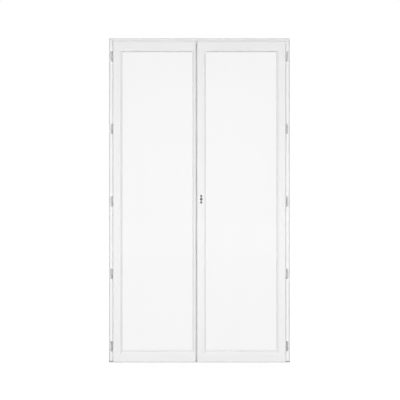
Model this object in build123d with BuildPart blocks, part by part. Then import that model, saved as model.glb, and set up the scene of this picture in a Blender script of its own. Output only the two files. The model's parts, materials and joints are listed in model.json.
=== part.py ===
"""French doors: two glazed timber leaves in their frame, on pin hinges, with a rack-driven bolt lock.

Millimetres. +X runs to the right seen from the room, +Y goes outdoors, +Z is up. The origin lies on the
underside of the threshold, at the middle of the frame's width and depth.
"""

import math
import os
from collections import namedtuple

from build123d import *

# Frame
frame_width = 1200.0
frame_height = 2150.0
frame_depth = 58.0
frame_face = 44.0
stop_reach = 16.0
frame_bevel_width = 6.0
frame_bevel_depth = 14.0
stop_arris = 2.0
head_tenon_length = 28.0
head_tenon_thickness = 16.0
head_tenon_margin = 9.0
fixing_hole_radius = 4.0
fixing_outer_pitch = 1650.0
fixing_inner_pitch = 550.0

# Threshold
base_thickness = 8.0
base_groove_depth = 4.0
base_rib_width = 8.0
base_foot_width = 5.0
upstand_rise = 12.0
upstand_width = 6.0
nosing_reach = 15.0
nosing_drop = 11.0
nosing_lip = 5.0

# Leaves
leaf_thickness = 56.0
lip_thickness = 17.0
lip_overlap = 17.0
head_lip_overlap = 23.0
lip_gap = 1.0
leaf_gap = 4.0
floor_gap = 6.0
seal_gap = 3.0
stile_face = 47.0
top_rail_face = 53.0
bottom_rail_face = 45.0
lip_bevel_width = 4.0
lip_bevel_depth = 7.0
tenon_length = 14.0
tenon_thickness = 12.0
tenon_margin = 7.0
tenon_end_gap = 0.5

# Meeting of the two leaves
meeting_lip_place = -17.0
meeting_lip_width = 14.0
meeting_face_gap = 5.0
meeting_edge_gap = 6.0
left_meeting_face = 11.0

# Glazing
pane_thickness = 4.0
pane_space = 16.0
pane_clearance = 3.0
gasket_thickness = 2.0
gasket_width = 8.0
glazing_lip_depth = 13.0
glazing_lip_height = 10.0
sealant_width = 3.5
spacer_width = 4.0
bead_face = 13.0
top_bead_face = 16.0
bottom_bead_face = 24.0
bead_inset = 1.0
bead_nib = 6.0
bead_land_share = 0.15
setting_block_length = 100.0
setting_block_place = 110.0

# Seals
seal_bulb_width = 7.0
seal_clearance = 0.3
seal_stem_width = 3.0
seal_stem_depth = 5.0

# Cover strip and drip rails on the outside
cover_strip_width = 42.0
cover_strip_depth = 14.0
cover_strip_overlap = 17.0
cover_strip_chamfer = 4.0
cover_strip_end_gap = 4.0
drip_height = 40.0
drip_reach = 31.0
drip_top_land = 5.0
drip_nose = 9.0
drip_groove = 4.0
drip_foot_gap = 5.0
drip_side_gap = 4.0
drip_meeting_gap = 12.0

# Pin hinges
hinge_count = 5
hinge_end_distance = 103.0
hinge_radius = 6.5
hinge_offset = 7.0
hinge_knuckle_length = 32.0
hinge_pin_radius = 3.5
hinge_pin_reach = 24.0
hinge_washer_gap = 2.0
hinge_tang_thickness = 2.5
hinge_tang_height = 22.0
frame_tang_depth = 25.0
leaf_tang_depth = 28.0
running_clearance = 0.05

# Lock in the right leaf
spindle_backset = 15.0
spindle_height = 1081.0
spindle_square = 7.0
spindle_hole_radius = 8.0
handle_screw_pitch = 43.0
handle_lug_radius = 6.5
handle_screw_radius = 2.5
handle_post_width = 9.0
pinion_teeth = 14
pinion_module = 1.25
pinion_journal_radius = 6.5
pressure_angle = 20.0
tooth_addendum_share = 0.8
tooth_dedendum_share = 1.05
tooth_backlash = 0.2
rack_lead = 7.0
rod_width = 10.0
slide_gap = 0.15
plate_thickness = 2.0
plate_width = 16.0
plate_end_gap = 2.0
case_wall = 1.5
case_rise = 32.0
case_drop = 57.0
rod_arm_height = 6.0
rod_arm_drop = 30.0
spindle_turn = 90.0

# Bolts and keeps
bolt_thickness = 6.0
bolt_tip_length = 70.0
bolt_tip_chamfer = 1.5
top_bolt_recess = 1.0
bottom_bolt_recess = 3.5
flush_bolt_length = 150.0
flush_plate_length = 172.0
flush_tab_height = 12.0
flush_tab_width = 8.0
flush_tab_reach = 2.0
flush_tab_place = 60.0
keep_thickness = 2.0
keep_margin = 6.0
keep_play = 1.0
keep_pocket_depth = 14.0

overrun = 2.0

# Places in depth
frame_inside = -frame_depth / 2
frame_outside = frame_depth / 2
lip_back = frame_inside - lip_gap
leaf_front = lip_back - lip_thickness
leaf_back = leaf_front + leaf_thickness
stop_face = leaf_back + seal_gap
glazing_seat = leaf_back - glazing_lip_depth
outer_pane_back = glazing_seat - gasket_thickness
outer_pane_front = outer_pane_back - pane_thickness
inner_pane_back = outer_pane_front - pane_space
inner_pane_front = inner_pane_back - pane_thickness
bead_back = inner_pane_front - gasket_thickness
bead_front = leaf_front + bead_inset
lock_middle = (lip_back + leaf_back) / 2
hinge_axis_depth = (leaf_front + lip_back) / 2

# Places across the width
frame_side = frame_width / 2
rebate_side = frame_side - frame_face
stop_side = rebate_side - stop_reach
leaf_side = rebate_side - leaf_gap
lip_side = rebate_side + lip_overlap
hinge_side = lip_side + hinge_offset

# Places in height
rebate_top = frame_height - frame_face
stop_top = rebate_top - stop_reach
leaf_top = rebate_top - leaf_gap
lip_top = rebate_top + head_lip_overlap
upstand_top = base_thickness + upstand_rise
leaf_bottom = base_thickness + leaf_gap
lip_bottom = floor_gap
wall_top = lip_top - top_rail_face
wall_bottom = lip_bottom + bottom_rail_face
sight_top = wall_top - top_bead_face
sight_bottom = wall_bottom + bottom_bead_face
hinge_low = lip_bottom + hinge_end_distance
hinge_pitch = (lip_top - lip_bottom - 2 * hinge_end_distance) / (hinge_count - 1)
hinge_heights = [hinge_low + hinge_pitch * step for step in range(hinge_count)]
frame_middle = frame_height / 2

# Sizes that follow from the ones above
pitch_radius = pinion_module * pinion_teeth / 2
tooth_pitch = math.pi * pinion_module
addendum = tooth_addendum_share * pinion_module
dedendum = tooth_dedendum_share * pinion_module
bolt_travel = pitch_radius * math.radians(spindle_turn)
hinge_bore_radius = hinge_pin_radius + running_clearance
seal_bulb_height = seal_gap - seal_clearance

# Each leaf's places across the width, from its hinges to where the leaves meet. The wall is the side of
# the glazing rebate and the sight line is where the bead meets the glass.
Leaf = namedtuple("Leaf", "name side wall sight lip meeting_edge meeting_wall meeting_sight")
meeting_edge_right = meeting_lip_place + meeting_lip_width
meeting_wall_right = meeting_lip_place + stile_face
meeting_lip_left = meeting_lip_place - meeting_face_gap
meeting_wall_left = meeting_lip_left - left_meeting_face
hinge_wall = lip_side - stile_face
left = Leaf(
    "left",
    -1,
    -hinge_wall,
    -(hinge_wall - bead_face),
    meeting_lip_left,
    meeting_edge_right - meeting_edge_gap,
    meeting_wall_left,
    meeting_wall_left - bead_face,
)
right = Leaf(
    "right",
    1,
    hinge_wall,
    hinge_wall - bead_face,
    meeting_lip_place,
    meeting_edge_right,
    meeting_wall_right,
    meeting_wall_right + bead_face,
)
meeting_step = lip_back + seal_gap
spindle_place = right.meeting_edge + spindle_backset
rod_front = right.meeting_edge + plate_thickness + slide_gap
rack_root = spindle_place - pitch_radius - dedendum
rod_thickness = rack_root - rod_front
far_rack_root = spindle_place + pitch_radius + dedendum
case_back = far_rack_root + rod_thickness + slide_gap + case_wall
flush_bolt_front = left.meeting_edge - plate_thickness - slide_gap
cover_strip_right = right.meeting_edge + cover_strip_overlap
cover_strip_left = cover_strip_right - cover_strip_width


def save(piece, name):
    """Label a finished piece and write it to its own file."""
    piece.part.label = name
    export_step(piece.part, f"parts/{name}.step")


def around(middle, width):
    """The two limits of a width about its middle."""
    return middle - width / 2, middle + width / 2


def corners(across, up):
    """A rectangle's corners from its limits both ways."""
    return [(across[0], up[0]), (across[1], up[0]), (across[1], up[1]), (across[0], up[1])]


def in_plan(points, low, high, mode=Mode.ADD):
    """An outline in plan, standing from one height to another."""
    with BuildSketch(Plane.XY.offset(low)) as outline:
        with BuildLine():
            Polyline(*points, close=True)
        make_face()
    extrude(outline.sketch, amount=high - low, mode=mode)


def in_section(points, start, end, mode=Mode.ADD):
    """An upright section of depth and height, run across the width."""
    with BuildSketch(Plane.YZ.offset(start)) as outline:
        with BuildLine():
            Polyline(*points, close=True)
        make_face()
    extrude(outline.sketch, amount=end - start, mode=mode)


def in_elevation(points, front, back, mode=Mode.ADD):
    """An outline seen from the room, run from front to back."""
    with BuildSketch(Plane.XZ.offset(-back)) as outline:
        with BuildLine():
            Polyline(*points, close=True)
        make_face()
    extrude(outline.sketch, amount=back - front, mode=mode)


def block(across, deep, up, mode=Mode.ADD):
    """A block between its limits in width, depth and height."""
    in_plan(corners(across, deep), up[0], up[1], mode)


def round_bar(start, direction, radius, length, mode=Mode.ADD):
    """A round bar, or a drilled hole, from a point along a direction."""
    with BuildSketch(Plane(origin=start, z_dir=direction)) as section:
        Circle(radius)
    extrude(section.sketch, amount=length, mode=mode)


def turned(place, points):
    """A turned shape: half a section of radius and height, turned about an upright axis."""
    axis_plane = Plane(origin=place, x_dir=(1, 0, 0), z_dir=(0, -1, 0))
    with BuildSketch(axis_plane) as half_section:
        with BuildLine():
            Polyline(*points, close=True)
        make_face()
    revolve(half_section.sketch, axis=Axis(place, (0, 0, 1)))


def seal_plane(start, upright):
    """The plane of a seal's section: its own y runs into the groove, outdoors."""
    if upright:
        return Plane(origin=start, x_dir=(1, 0, 0), z_dir=(0, 0, 1))
    return Plane(origin=start, x_dir=(0, 0, -1), z_dir=(1, 0, 0))


def seal_strip(plane, length):
    """A rubber seal with a rounded bulb and a stem that sits in a groove."""
    bulb = seal_bulb_width / 2
    stem = seal_stem_width / 2
    with BuildSketch(plane) as section:
        with BuildLine():
            ThreePointArc((-bulb, 0), (0, -seal_bulb_height), (bulb, 0))
            Polyline(
                (bulb, 0),
                (stem, 0),
                (stem, seal_stem_depth),
                (-stem, seal_stem_depth),
                (-stem, 0),
                (-bulb, 0),
            )
        make_face()
    extrude(section.sketch, amount=length)


def seal_groove(plane, length):
    """The groove for a seal's stem."""
    with BuildSketch(plane) as section:
        Rectangle(seal_stem_width, seal_stem_depth, align=(Align.CENTER, Align.MIN))
    extrude(section.sketch, amount=length, mode=Mode.SUBTRACT)


# Where each frame seal runs: midway between the stop's edge and the leaf's edge
jamb_seal_side = (stop_side + leaf_side) / 2
head_seal_height = (stop_top + leaf_top) / 2
threshold_seal_height = (leaf_bottom + upstand_top) / 2
jamb_seal_bottom = upstand_top
jamb_seal_top = head_seal_height - seal_bulb_width / 2
head_seal_side = jamb_seal_side + seal_bulb_width / 2


def jamb_seal_plane(side):
    """Where a jamb's seal starts."""
    return seal_plane((side * jamb_seal_side, stop_face, jamb_seal_bottom), True)


head_seal_plane = seal_plane((-head_seal_side, stop_face, head_seal_height), False)
threshold_seal_plane = seal_plane((-stop_side, stop_face, threshold_seal_height), False)


# Pin hinges: each half is a knuckle with a flat tang that is mortised into its member
tang_offset = (hinge_knuckle_length + hinge_washer_gap) / 2


def hinge_place(side, height):
    """The middle of a hinge, on its axis."""
    return (side * hinge_side, hinge_axis_depth, height)


def frame_tang(side, height, start, mode):
    """The tang of a hinge's lower half, or its mortise in the jamb."""
    across = around(side * hinge_side, hinge_tang_thickness)
    deep = (start, frame_inside + frame_tang_depth)
    block(across, deep, around(height - tang_offset, hinge_tang_height), mode)


def leaf_tang(side, height, start, mode):
    """The tang of a hinge's upper half, or its mortise in the leaf's lip."""
    across = sorted((side * start, side * (lip_side - leaf_tang_depth)))
    deep = around(hinge_axis_depth, hinge_tang_thickness)
    block(across, deep, around(height + tang_offset, hinge_tang_height), mode)


# Jambs: an L-shaped section with the stop on the outdoor side
def jamb_section(side):
    """A jamb's outline in plan."""
    return [
        (side * frame_side, frame_inside),
        (side * rebate_side, frame_inside),
        (side * rebate_side, stop_face),
        (side * stop_side, stop_face),
        (side * stop_side, frame_outside),
        (side * frame_side, frame_outside),
    ]


head_tenon_depth = around(0, head_tenon_thickness)
head_tenon_height = (rebate_top + head_tenon_margin, frame_height - head_tenon_margin)


def head_tenon(side, mode):
    """The head's tenon in a jamb, or its mortise."""
    inner = side * rebate_side
    outer = side * (rebate_side + head_tenon_length)
    block(sorted((inner, outer)), head_tenon_depth, head_tenon_height, mode)


def make_jamb(name, side):
    """One upright of the frame, drilled for its hinges and wall fixings."""
    outward = 0 if side < 0 else -1
    with BuildPart() as jamb:
        in_plan(jamb_section(side), base_thickness, frame_height)
        room_face = jamb.faces().sort_by(Axis.Y)[0]
        outer_edge = room_face.edges().sort_by(Axis.X)[outward]
        top_edge = room_face.edges().sort_by(Axis.Z)[-1]
        chamfer([outer_edge, top_edge], frame_bevel_width, frame_bevel_depth, reference=room_face)
        outdoor_edges = jamb.faces().sort_by(Axis.Y)[-1].edges().filter_by(Axis.Z)
        chamfer(outdoor_edges.sort_by(Axis.X)[-1 - outward], stop_arris)
        head_tenon(side, Mode.SUBTRACT)
        seal_groove(jamb_seal_plane(side), jamb_seal_top - jamb_seal_bottom)
        seal_groove(head_seal_plane, 2 * head_seal_side)
        for height in hinge_heights:
            frame_tang(side, height, frame_inside - overrun, Mode.SUBTRACT)
        for pitch in (fixing_outer_pitch, fixing_inner_pitch):
            for height in around(frame_middle, pitch):
                start = (side * (rebate_side - overrun), 0, height)
                length = frame_face + 2 * overrun
                round_bar(start, (side, 0, 0), fixing_hole_radius, length, Mode.SUBTRACT)
    save(jamb, name)


# Keeps that take the bolts, in the head and in the threshold
keep_depth = around(lock_middle, rod_width + 2 * keep_margin)
bolt_slot_depth = around(lock_middle, rod_width + 2 * keep_play)
left_slot = (flush_bolt_front - bolt_thickness - keep_play, flush_bolt_front + keep_play)
right_slot = (rod_front - keep_play, rod_front + bolt_thickness + keep_play)
keep_across = (left_slot[0] - keep_margin, right_slot[1] + keep_margin)


def bolt_slots(low, high):
    """Openings for both leaves' bolts."""
    for slot in (left_slot, right_slot):
        block(slot, bolt_slot_depth, (low, high), Mode.SUBTRACT)


def make_keep(name, low, high):
    """A flat keep plate with a slot for each bolt."""
    with BuildPart() as keep:
        block(keep_across, keep_depth, (low, high))
        bolt_slots(low - overrun, high + overrun)
    save(keep, name)


def make_head():
    """The top member of the frame, scribed to the jambs and tenoned into them."""
    section = [
        (frame_inside, frame_height),
        (frame_outside, frame_height),
        (frame_outside, stop_top),
        (stop_face, stop_top),
        (stop_face, rebate_top),
        (frame_inside, rebate_top),
    ]
    keep_top = rebate_top + keep_thickness
    with BuildPart() as head:
        in_section(section, -rebate_side, rebate_side)
        room_face = head.faces().sort_by(Axis.Y)[0]
        top_edge = room_face.edges().filter_by(Axis.X).sort_by(Axis.Z)[-1]
        chamfer(top_edge, frame_bevel_width, frame_bevel_depth, reference=room_face)
        for side in (-1, 1):
            in_plan(jamb_section(side), stop_top - overrun, frame_height + overrun, Mode.SUBTRACT)
            head_tenon(side, Mode.ADD)
        seal_groove(head_seal_plane, 2 * head_seal_side)
        block(keep_across, keep_depth, (rebate_top - overrun, keep_top), Mode.SUBTRACT)
        bolt_slots(rebate_top, keep_top + keep_pocket_depth)
    save(head, "head")


def make_threshold():
    """The metal threshold: a grooved base under the jambs, with an upstand and a sloping nosing."""
    groove_end = base_rib_width / 2
    nosing_edge = frame_outside + nosing_reach
    upstand = [
        (stop_face, base_thickness - overrun),
        (stop_face, upstand_top),
        (stop_face + upstand_width, upstand_top),
        (nosing_edge, upstand_top - nosing_drop),
        (nosing_edge, upstand_top - nosing_drop - nosing_lip),
        (frame_outside, base_thickness - overrun),
    ]
    with BuildPart() as threshold:
        block((-frame_side, frame_side), (frame_inside, frame_outside), (0, base_thickness))
        in_section(upstand, -stop_side, stop_side)
        inside_groove = (frame_inside + base_foot_width, -groove_end)
        outside_groove = (groove_end, frame_outside - base_foot_width)
        for groove in (inside_groove, outside_groove):
            block(
                (-frame_side - overrun, frame_side + overrun),
                groove,
                (-overrun, base_groove_depth),
                Mode.SUBTRACT,
            )
        seal_groove(threshold_seal_plane, 2 * stop_side)
        keep_low = base_thickness - keep_thickness
        block(keep_across, keep_depth, (keep_low, base_thickness + overrun), Mode.SUBTRACT)
        bolt_slots(base_groove_depth - overrun, base_thickness)
    save(threshold, "threshold")


def make_frame_seals():
    """The seals that the closed leaves press against."""
    for name, side in (("left_jamb_seal", -1), ("right_jamb_seal", 1)):
        with BuildPart() as jamb_seal:
            seal_strip(jamb_seal_plane(side), jamb_seal_top - jamb_seal_bottom)
        save(jamb_seal, name)
    with BuildPart() as head_seal:
        seal_strip(head_seal_plane, 2 * head_seal_side)
    save(head_seal, "head_seal")
    with BuildPart() as threshold_seal:
        seal_strip(threshold_seal_plane, 2 * stop_side)
    save(threshold_seal, "threshold_seal")


def make_hinges(name, side):
    """The frame halves with their pins and the leaf halves of one side, with room for a washer between."""
    half_gap = hinge_washer_gap / 2
    knuckle_end = half_gap + hinge_knuckle_length
    bore_end = hinge_pin_reach + running_clearance
    knuckle_wall = (hinge_bore_radius + hinge_radius) / 2
    pin_half_section = [
        (0, -knuckle_end),
        (hinge_radius, -knuckle_end),
        (hinge_radius, -half_gap),
        (hinge_pin_radius, -half_gap),
        (hinge_pin_radius, hinge_pin_reach),
        (0, hinge_pin_reach),
    ]
    leaf_half_section = [
        (hinge_bore_radius, half_gap),
        (hinge_radius, half_gap),
        (hinge_radius, knuckle_end),
        (0, knuckle_end),
        (0, bore_end),
        (hinge_bore_radius, bore_end),
    ]
    with BuildPart() as frame_halves:
        for height in hinge_heights:
            turned(hinge_place(side, height), pin_half_section)
            frame_tang(side, height, hinge_axis_depth, Mode.ADD)
    save(frame_halves, f"{name}_frame_hinges")
    with BuildPart() as leaf_halves:
        for height in hinge_heights:
            turned(hinge_place(side, height), leaf_half_section)
            leaf_tang(side, height, hinge_side - knuckle_wall, Mode.ADD)
    save(leaf_halves, f"{name}_leaf_hinges")


# Stiles and rails of a leaf
def hinge_stile_section(leaf):
    """The hinge stile in plan: the lip over the frame, the body, and the rebate for the glass."""
    side = leaf.side
    glass_edge = leaf.wall - side * glazing_lip_height
    return [
        (side * lip_side, leaf_front),
        (side * lip_side, lip_back),
        (side * leaf_side, lip_back),
        (side * leaf_side, leaf_back),
        (glass_edge, leaf_back),
        (glass_edge, glazing_seat),
        (leaf.wall, glazing_seat),
        (leaf.wall, leaf_front),
    ]


def meeting_stile_section(leaf):
    """The meeting stile in plan: the right one has a lip, and the left one a step that it covers."""
    step = lip_back if leaf.side > 0 else meeting_step
    glass_edge = leaf.meeting_wall + leaf.side * glazing_lip_height
    return [
        (leaf.lip, leaf_front),
        (leaf.lip, step),
        (leaf.meeting_edge, step),
        (leaf.meeting_edge, leaf_back),
        (glass_edge, leaf_back),
        (glass_edge, glazing_seat),
        (leaf.meeting_wall, glazing_seat),
        (leaf.meeting_wall, leaf_front),
    ]


rail_tenon_depth = around(lock_middle, tenon_thickness)
top_tenon_height = (wall_top + tenon_margin, leaf_top - tenon_margin)
bottom_tenon_height = (leaf_bottom + tenon_margin, wall_bottom - tenon_margin)


def rail_tenons(leaf, heights, end_gap, mode):
    """A rail's tenons in both stiles, or their mortises."""
    reach = tenon_length - end_gap
    for wall, outward in ((leaf.wall, leaf.side), (leaf.meeting_wall, -leaf.side)):
        block(sorted((wall, wall + outward * reach)), rail_tenon_depth, heights, mode)


def trim_stile_ends(across):
    """Cut a stile's body back at both ends, so that the lip runs on past it."""
    deep = (lip_back, leaf_back + overrun)
    block(across, deep, (leaf_top, lip_top + overrun), Mode.SUBTRACT)
    block(across, deep, (lip_bottom - overrun, leaf_bottom), Mode.SUBTRACT)


def bevel_stile(stile, lip_end):
    """Bevel the room-side edges of a stile: its lip edge and its top end."""
    room_face = stile.faces().sort_by(Axis.Y)[0]
    lip_edge = room_face.edges().sort_by(Axis.X)[lip_end]
    top_edge = room_face.edges().sort_by(Axis.Z)[-1]
    chamfer([lip_edge, top_edge], lip_bevel_width, lip_bevel_depth, reference=room_face)


def make_hinge_stile(leaf):
    """The stile on the hinges, with their tangs mortised into its lip."""
    limits = sorted((leaf.side * (lip_side + overrun), leaf.sight))
    with BuildPart() as stile:
        in_plan(hinge_stile_section(leaf), lip_bottom, lip_top)
        bevel_stile(stile, 0 if leaf.side < 0 else -1)
        trim_stile_ends(limits)
        for heights in (top_tenon_height, bottom_tenon_height):
            rail_tenons(leaf, heights, 0, Mode.SUBTRACT)
        for height in hinge_heights:
            leaf_tang(leaf.side, height, lip_side + overrun, Mode.SUBTRACT)
    save(stile, f"{leaf.name}_hinge_stile")


def make_rail(leaf, name, section, heights, bevelled):
    """A rail between the stiles, scribed to their glazing rebate and tenoned into them."""
    limits = sorted((leaf.wall, leaf.meeting_wall))
    with BuildPart() as rail:
        in_section(section, limits[0], limits[1])
        if bevelled:
            room_face = rail.faces().sort_by(Axis.Y)[0]
            top_edge = room_face.edges().filter_by(Axis.X).sort_by(Axis.Z)[-1]
            chamfer(top_edge, lip_bevel_width, lip_bevel_depth, reference=room_face)
        for outline in (hinge_stile_section(leaf), meeting_stile_section(leaf)):
            in_plan(outline, lip_bottom - overrun, lip_top + overrun, Mode.SUBTRACT)
        rail_tenons(leaf, heights, tenon_end_gap, Mode.ADD)
    save(rail, f"{leaf.name}_{name}")


def make_rails(leaf):
    """The leaf's top and bottom rails."""
    outer_sight_top = wall_top - glazing_lip_height
    outer_sight_bottom = wall_bottom + glazing_lip_height
    top_section = [
        (leaf_front, lip_top),
        (lip_back, lip_top),
        (lip_back, leaf_top),
        (leaf_back, leaf_top),
        (leaf_back, outer_sight_top),
        (glazing_seat, outer_sight_top),
        (glazing_seat, wall_top),
        (leaf_front, wall_top),
    ]
    bottom_section = [
        (leaf_front, lip_bottom),
        (lip_back, lip_bottom),
        (lip_back, leaf_bottom),
        (leaf_back, leaf_bottom),
        (leaf_back, outer_sight_bottom),
        (glazing_seat, outer_sight_bottom),
        (glazing_seat, wall_bottom),
        (leaf_front, wall_bottom),
    ]
    make_rail(leaf, "top_rail", top_section, top_tenon_height, True)
    make_rail(leaf, "bottom_rail", bottom_section, bottom_tenon_height, False)


# Glazing: a sealed unit of two panes, held from the room side by four mitred beads
Window = namedtuple("Window", "across up")


def inset(window, distance):
    """A window's outline moved inwards on all sides."""
    across = (window.across[0] + distance, window.across[1] - distance)
    up = (window.up[0] + distance, window.up[1] - distance)
    return Window(across, up)


def sheet(window, front, back, mode=Mode.ADD):
    """A flat sheet of a window's outline."""
    in_elevation(corners(window.across, window.up), front, back, mode)


def make_sheet(name, window, front, back):
    """A plain pane."""
    with BuildPart() as pane:
        sheet(window, front, back)
    save(pane, name)


def make_ring(name, outer, inner, front, back):
    """A strip that runs right round a window."""
    with BuildPart() as strip:
        sheet(outer, front, back)
        sheet(inner, front - overrun, back + overrun, Mode.SUBTRACT)
    save(strip, name)


def make_bead(name, outline, middle):
    """A glazing bead with mitred ends, bevelled down towards the glass."""
    bevel_depth = bead_back - bead_front - bead_nib
    with BuildPart() as bead:
        in_elevation(outline, bead_front, bead_back)
        front_face = bead.faces().sort_by(Axis.Y)[0]
        glass_edge = front_face.edges().sort_by_distance(middle)[0]
        width = front_face.area / (sum(edge.length for edge in long_edges(front_face)) / 2)
        bevel_width = width * (1 - bead_land_share)
        chamfer(glass_edge, bevel_width, bevel_depth, reference=front_face)
    save(bead, name)


def long_edges(face):
    """The two long parallel edges of a bead's face."""
    return face.edges().sort_by(SortBy.LENGTH)[-2:]


def make_beads(leaf):
    """The four beads of a leaf, mitred from the rebate's corners to the sight line's corners."""
    outer = {
        "hinge": leaf.wall,
        "meeting": leaf.meeting_wall,
        "top": wall_top,
        "bottom": wall_bottom,
    }
    inner = {
        "hinge": leaf.sight,
        "meeting": leaf.meeting_sight,
        "top": sight_top,
        "bottom": sight_bottom,
    }
    middle = ((leaf.sight + leaf.meeting_sight) / 2, bead_front, (sight_bottom + sight_top) / 2)
    for side in ("hinge", "meeting"):
        outline = [
            (outer[side], outer["bottom"]),
            (inner[side], inner["bottom"]),
            (inner[side], inner["top"]),
            (outer[side], outer["top"]),
        ]
        make_bead(f"{leaf.name}_{side}_bead", outline, middle)
    for end in ("top", "bottom"):
        outline = [
            (outer["hinge"], outer[end]),
            (inner["hinge"], inner[end]),
            (inner["meeting"], inner[end]),
            (outer["meeting"], outer[end]),
        ]
        make_bead(f"{leaf.name}_{end}_bead", outline, middle)


def make_setting_blocks(leaf, glass):
    """Blocks that carry the sealed unit below and hold it off the rebate at the sides."""
    deep = (inner_pane_front, outer_pane_back)
    wall_across = sorted((leaf.wall, leaf.meeting_wall))
    with BuildPart() as blocks:
        for place in (glass.across[0] + setting_block_place, glass.across[1] - setting_block_place):
            block(around(place, setting_block_length), deep, (wall_bottom, glass.up[0]))
        side_height = around(glass.up[1] - setting_block_place, setting_block_length)
        block((wall_across[0], glass.across[0]), deep, side_height)
        block((glass.across[1], wall_across[1]), deep, side_height)
    save(blocks, f"{leaf.name}_setting_blocks")


def make_glazing(leaf):
    """The sealed unit with its gaskets, beads and setting blocks."""
    rebate = Window(sorted((leaf.wall, leaf.meeting_wall)), (wall_bottom, wall_top))
    sight = Window(sorted((leaf.sight, leaf.meeting_sight)), (sight_bottom, sight_top))
    glass = inset(rebate, pane_clearance)
    spacer = inset(glass, sealant_width)
    outer_sight = inset(rebate, glazing_lip_height)
    make_sheet(f"{leaf.name}_inner_pane", glass, inner_pane_front, inner_pane_back)
    make_sheet(f"{leaf.name}_outer_pane", glass, outer_pane_front, outer_pane_back)
    make_ring(f"{leaf.name}_edge_sealant", glass, spacer, inner_pane_back, outer_pane_front)
    make_ring(f"{leaf.name}_spacer", spacer, inset(spacer, spacer_width), inner_pane_back, outer_pane_front)
    make_ring(f"{leaf.name}_inner_gasket", inset(sight, -gasket_width), sight, bead_back, inner_pane_front)
    outer_gasket = inset(outer_sight, -gasket_width)
    make_ring(f"{leaf.name}_outer_gasket", outer_gasket, outer_sight, outer_pane_back, glazing_seat)
    make_setting_blocks(leaf, glass)
    make_beads(leaf)


def make_drip_rail(leaf, meeting_end):
    """The weather moulding on the outside of the bottom rail, with a drip groove under its nose."""
    low = upstand_top + drip_foot_gap
    high = low + drip_height
    nose = leaf_back + drip_reach
    groove = (nose - 2 * drip_groove, nose - drip_groove)
    limits = sorted((leaf.side * (stop_side - drip_side_gap), meeting_end))
    with BuildPart() as drip_rail:
        with BuildSketch(Plane.YZ.offset(limits[0])):
            with BuildLine():
                Line((leaf_back, low), (leaf_back, high))
                Line((leaf_back, high), (leaf_back + drip_top_land, high))
                RadiusArc((leaf_back + drip_top_land, high), (nose, low + drip_nose), 2 * drip_height)
                Line((nose, low + drip_nose), (nose, low))
                Line((nose, low), (leaf_back, low))
            make_face()
        extrude(amount=limits[1] - limits[0])
        in_section(corners(groove, (low - overrun, low + drip_groove)), limits[0], limits[1], Mode.SUBTRACT)
    save(drip_rail, f"{leaf.name}_drip_rail")


# Left leaf: cover strip and flush bolts
strip_low = upstand_top + cover_strip_end_gap
strip_high = stop_top - cover_strip_end_gap
strip_seal_plane = seal_plane(((right.meeting_edge + cover_strip_right) / 2, stop_face, strip_low), True)
flush_plate_depth = around(lock_middle, plate_width)
flush_bolt_depth = around(lock_middle, rod_width)
flush_channel_depth = around(lock_middle, rod_width + 2 * slide_gap)
flush_bolt_across = (flush_bolt_front - bolt_thickness, flush_bolt_front)
flush_channel_across = (flush_bolt_across[0] - slide_gap, left.meeting_edge - plate_thickness)
flush_plate_across = (left.meeting_edge - plate_thickness, left.meeting_edge)


def flush_heights(end, start, length):
    """Limits of something that starts near one end of the leaf and runs towards its middle."""
    if end > 0:
        return (leaf_top - start - length, leaf_top - start)
    return (leaf_bottom + start, leaf_bottom + start + length)


def make_left_meeting_stile():
    """The left leaf's meeting stile, stepped for the right leaf's lip and cut for the flush bolts."""
    with BuildPart() as stile:
        in_plan(meeting_stile_section(left), lip_bottom, lip_top)
        bevel_stile(stile, -1)
        trim_stile_ends((left.meeting_sight, left.meeting_edge + overrun))
        for heights in (top_tenon_height, bottom_tenon_height):
            rail_tenons(left, heights, 0, Mode.SUBTRACT)
        for end in (-1, 1):
            plate = flush_heights(end, plate_end_gap, flush_plate_length)
            channel = flush_heights(end, -overrun, flush_bolt_length + 3 * overrun)
            block(flush_plate_across, flush_plate_depth, plate, Mode.SUBTRACT)
            block(flush_channel_across, flush_channel_depth, channel, Mode.SUBTRACT)
            mouth = flush_heights(end, -overrun, plate_end_gap + overrun)
            mouth_across = (flush_channel_across[0], left.meeting_edge + overrun)
            block(mouth_across, flush_channel_depth, mouth, Mode.SUBTRACT)
    save(stile, "left_meeting_stile")


def flush_tab_heights(end, recess):
    """Where a bolt's finger tab stands at rest, with the bolt drawn in."""
    return flush_heights(end, recess + flush_tab_place, flush_tab_height)


def make_flush_bolts():
    """The left leaf's two flush bolts and the plates that hold them in the stile's edge."""
    with BuildPart() as plates:
        for end, recess in ((-1, bottom_bolt_recess), (1, top_bolt_recess)):
            plate_heights = flush_heights(end, plate_end_gap, flush_plate_length)
            block(flush_plate_across, flush_plate_depth, plate_heights)
            low, high = flush_tab_heights(end, recess)
            slot = (low - slide_gap, high + bolt_travel + slide_gap)
            if end < 0:
                slot = (low - bolt_travel - slide_gap, high + slide_gap)
            slot_depth = around(lock_middle, flush_tab_width + 2 * slide_gap)
            slot_across = (flush_plate_across[0] - overrun, flush_plate_across[1] + overrun)
            block(slot_across, slot_depth, slot, Mode.SUBTRACT)
    save(plates, "left_bolt_plates")
    both_bolts = (
        ("left_top_bolt", 1, top_bolt_recess),
        ("left_bottom_bolt", -1, bottom_bolt_recess),
    )
    for name, end, recess in both_bolts:
        with BuildPart() as bolt:
            block(flush_bolt_across, flush_bolt_depth, flush_heights(end, recess, flush_bolt_length))
            tip_edges = bolt.faces().sort_by(Axis.Z)[-1 if end > 0 else 0].edges()
            chamfer(tip_edges, bolt_tip_chamfer)
            tab_across = (flush_bolt_front - overrun, left.meeting_edge + flush_tab_reach)
            tab_depth = around(lock_middle, flush_tab_width)
            block(tab_across, tab_depth, flush_tab_heights(end, recess))
        save(bolt, name)


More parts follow.
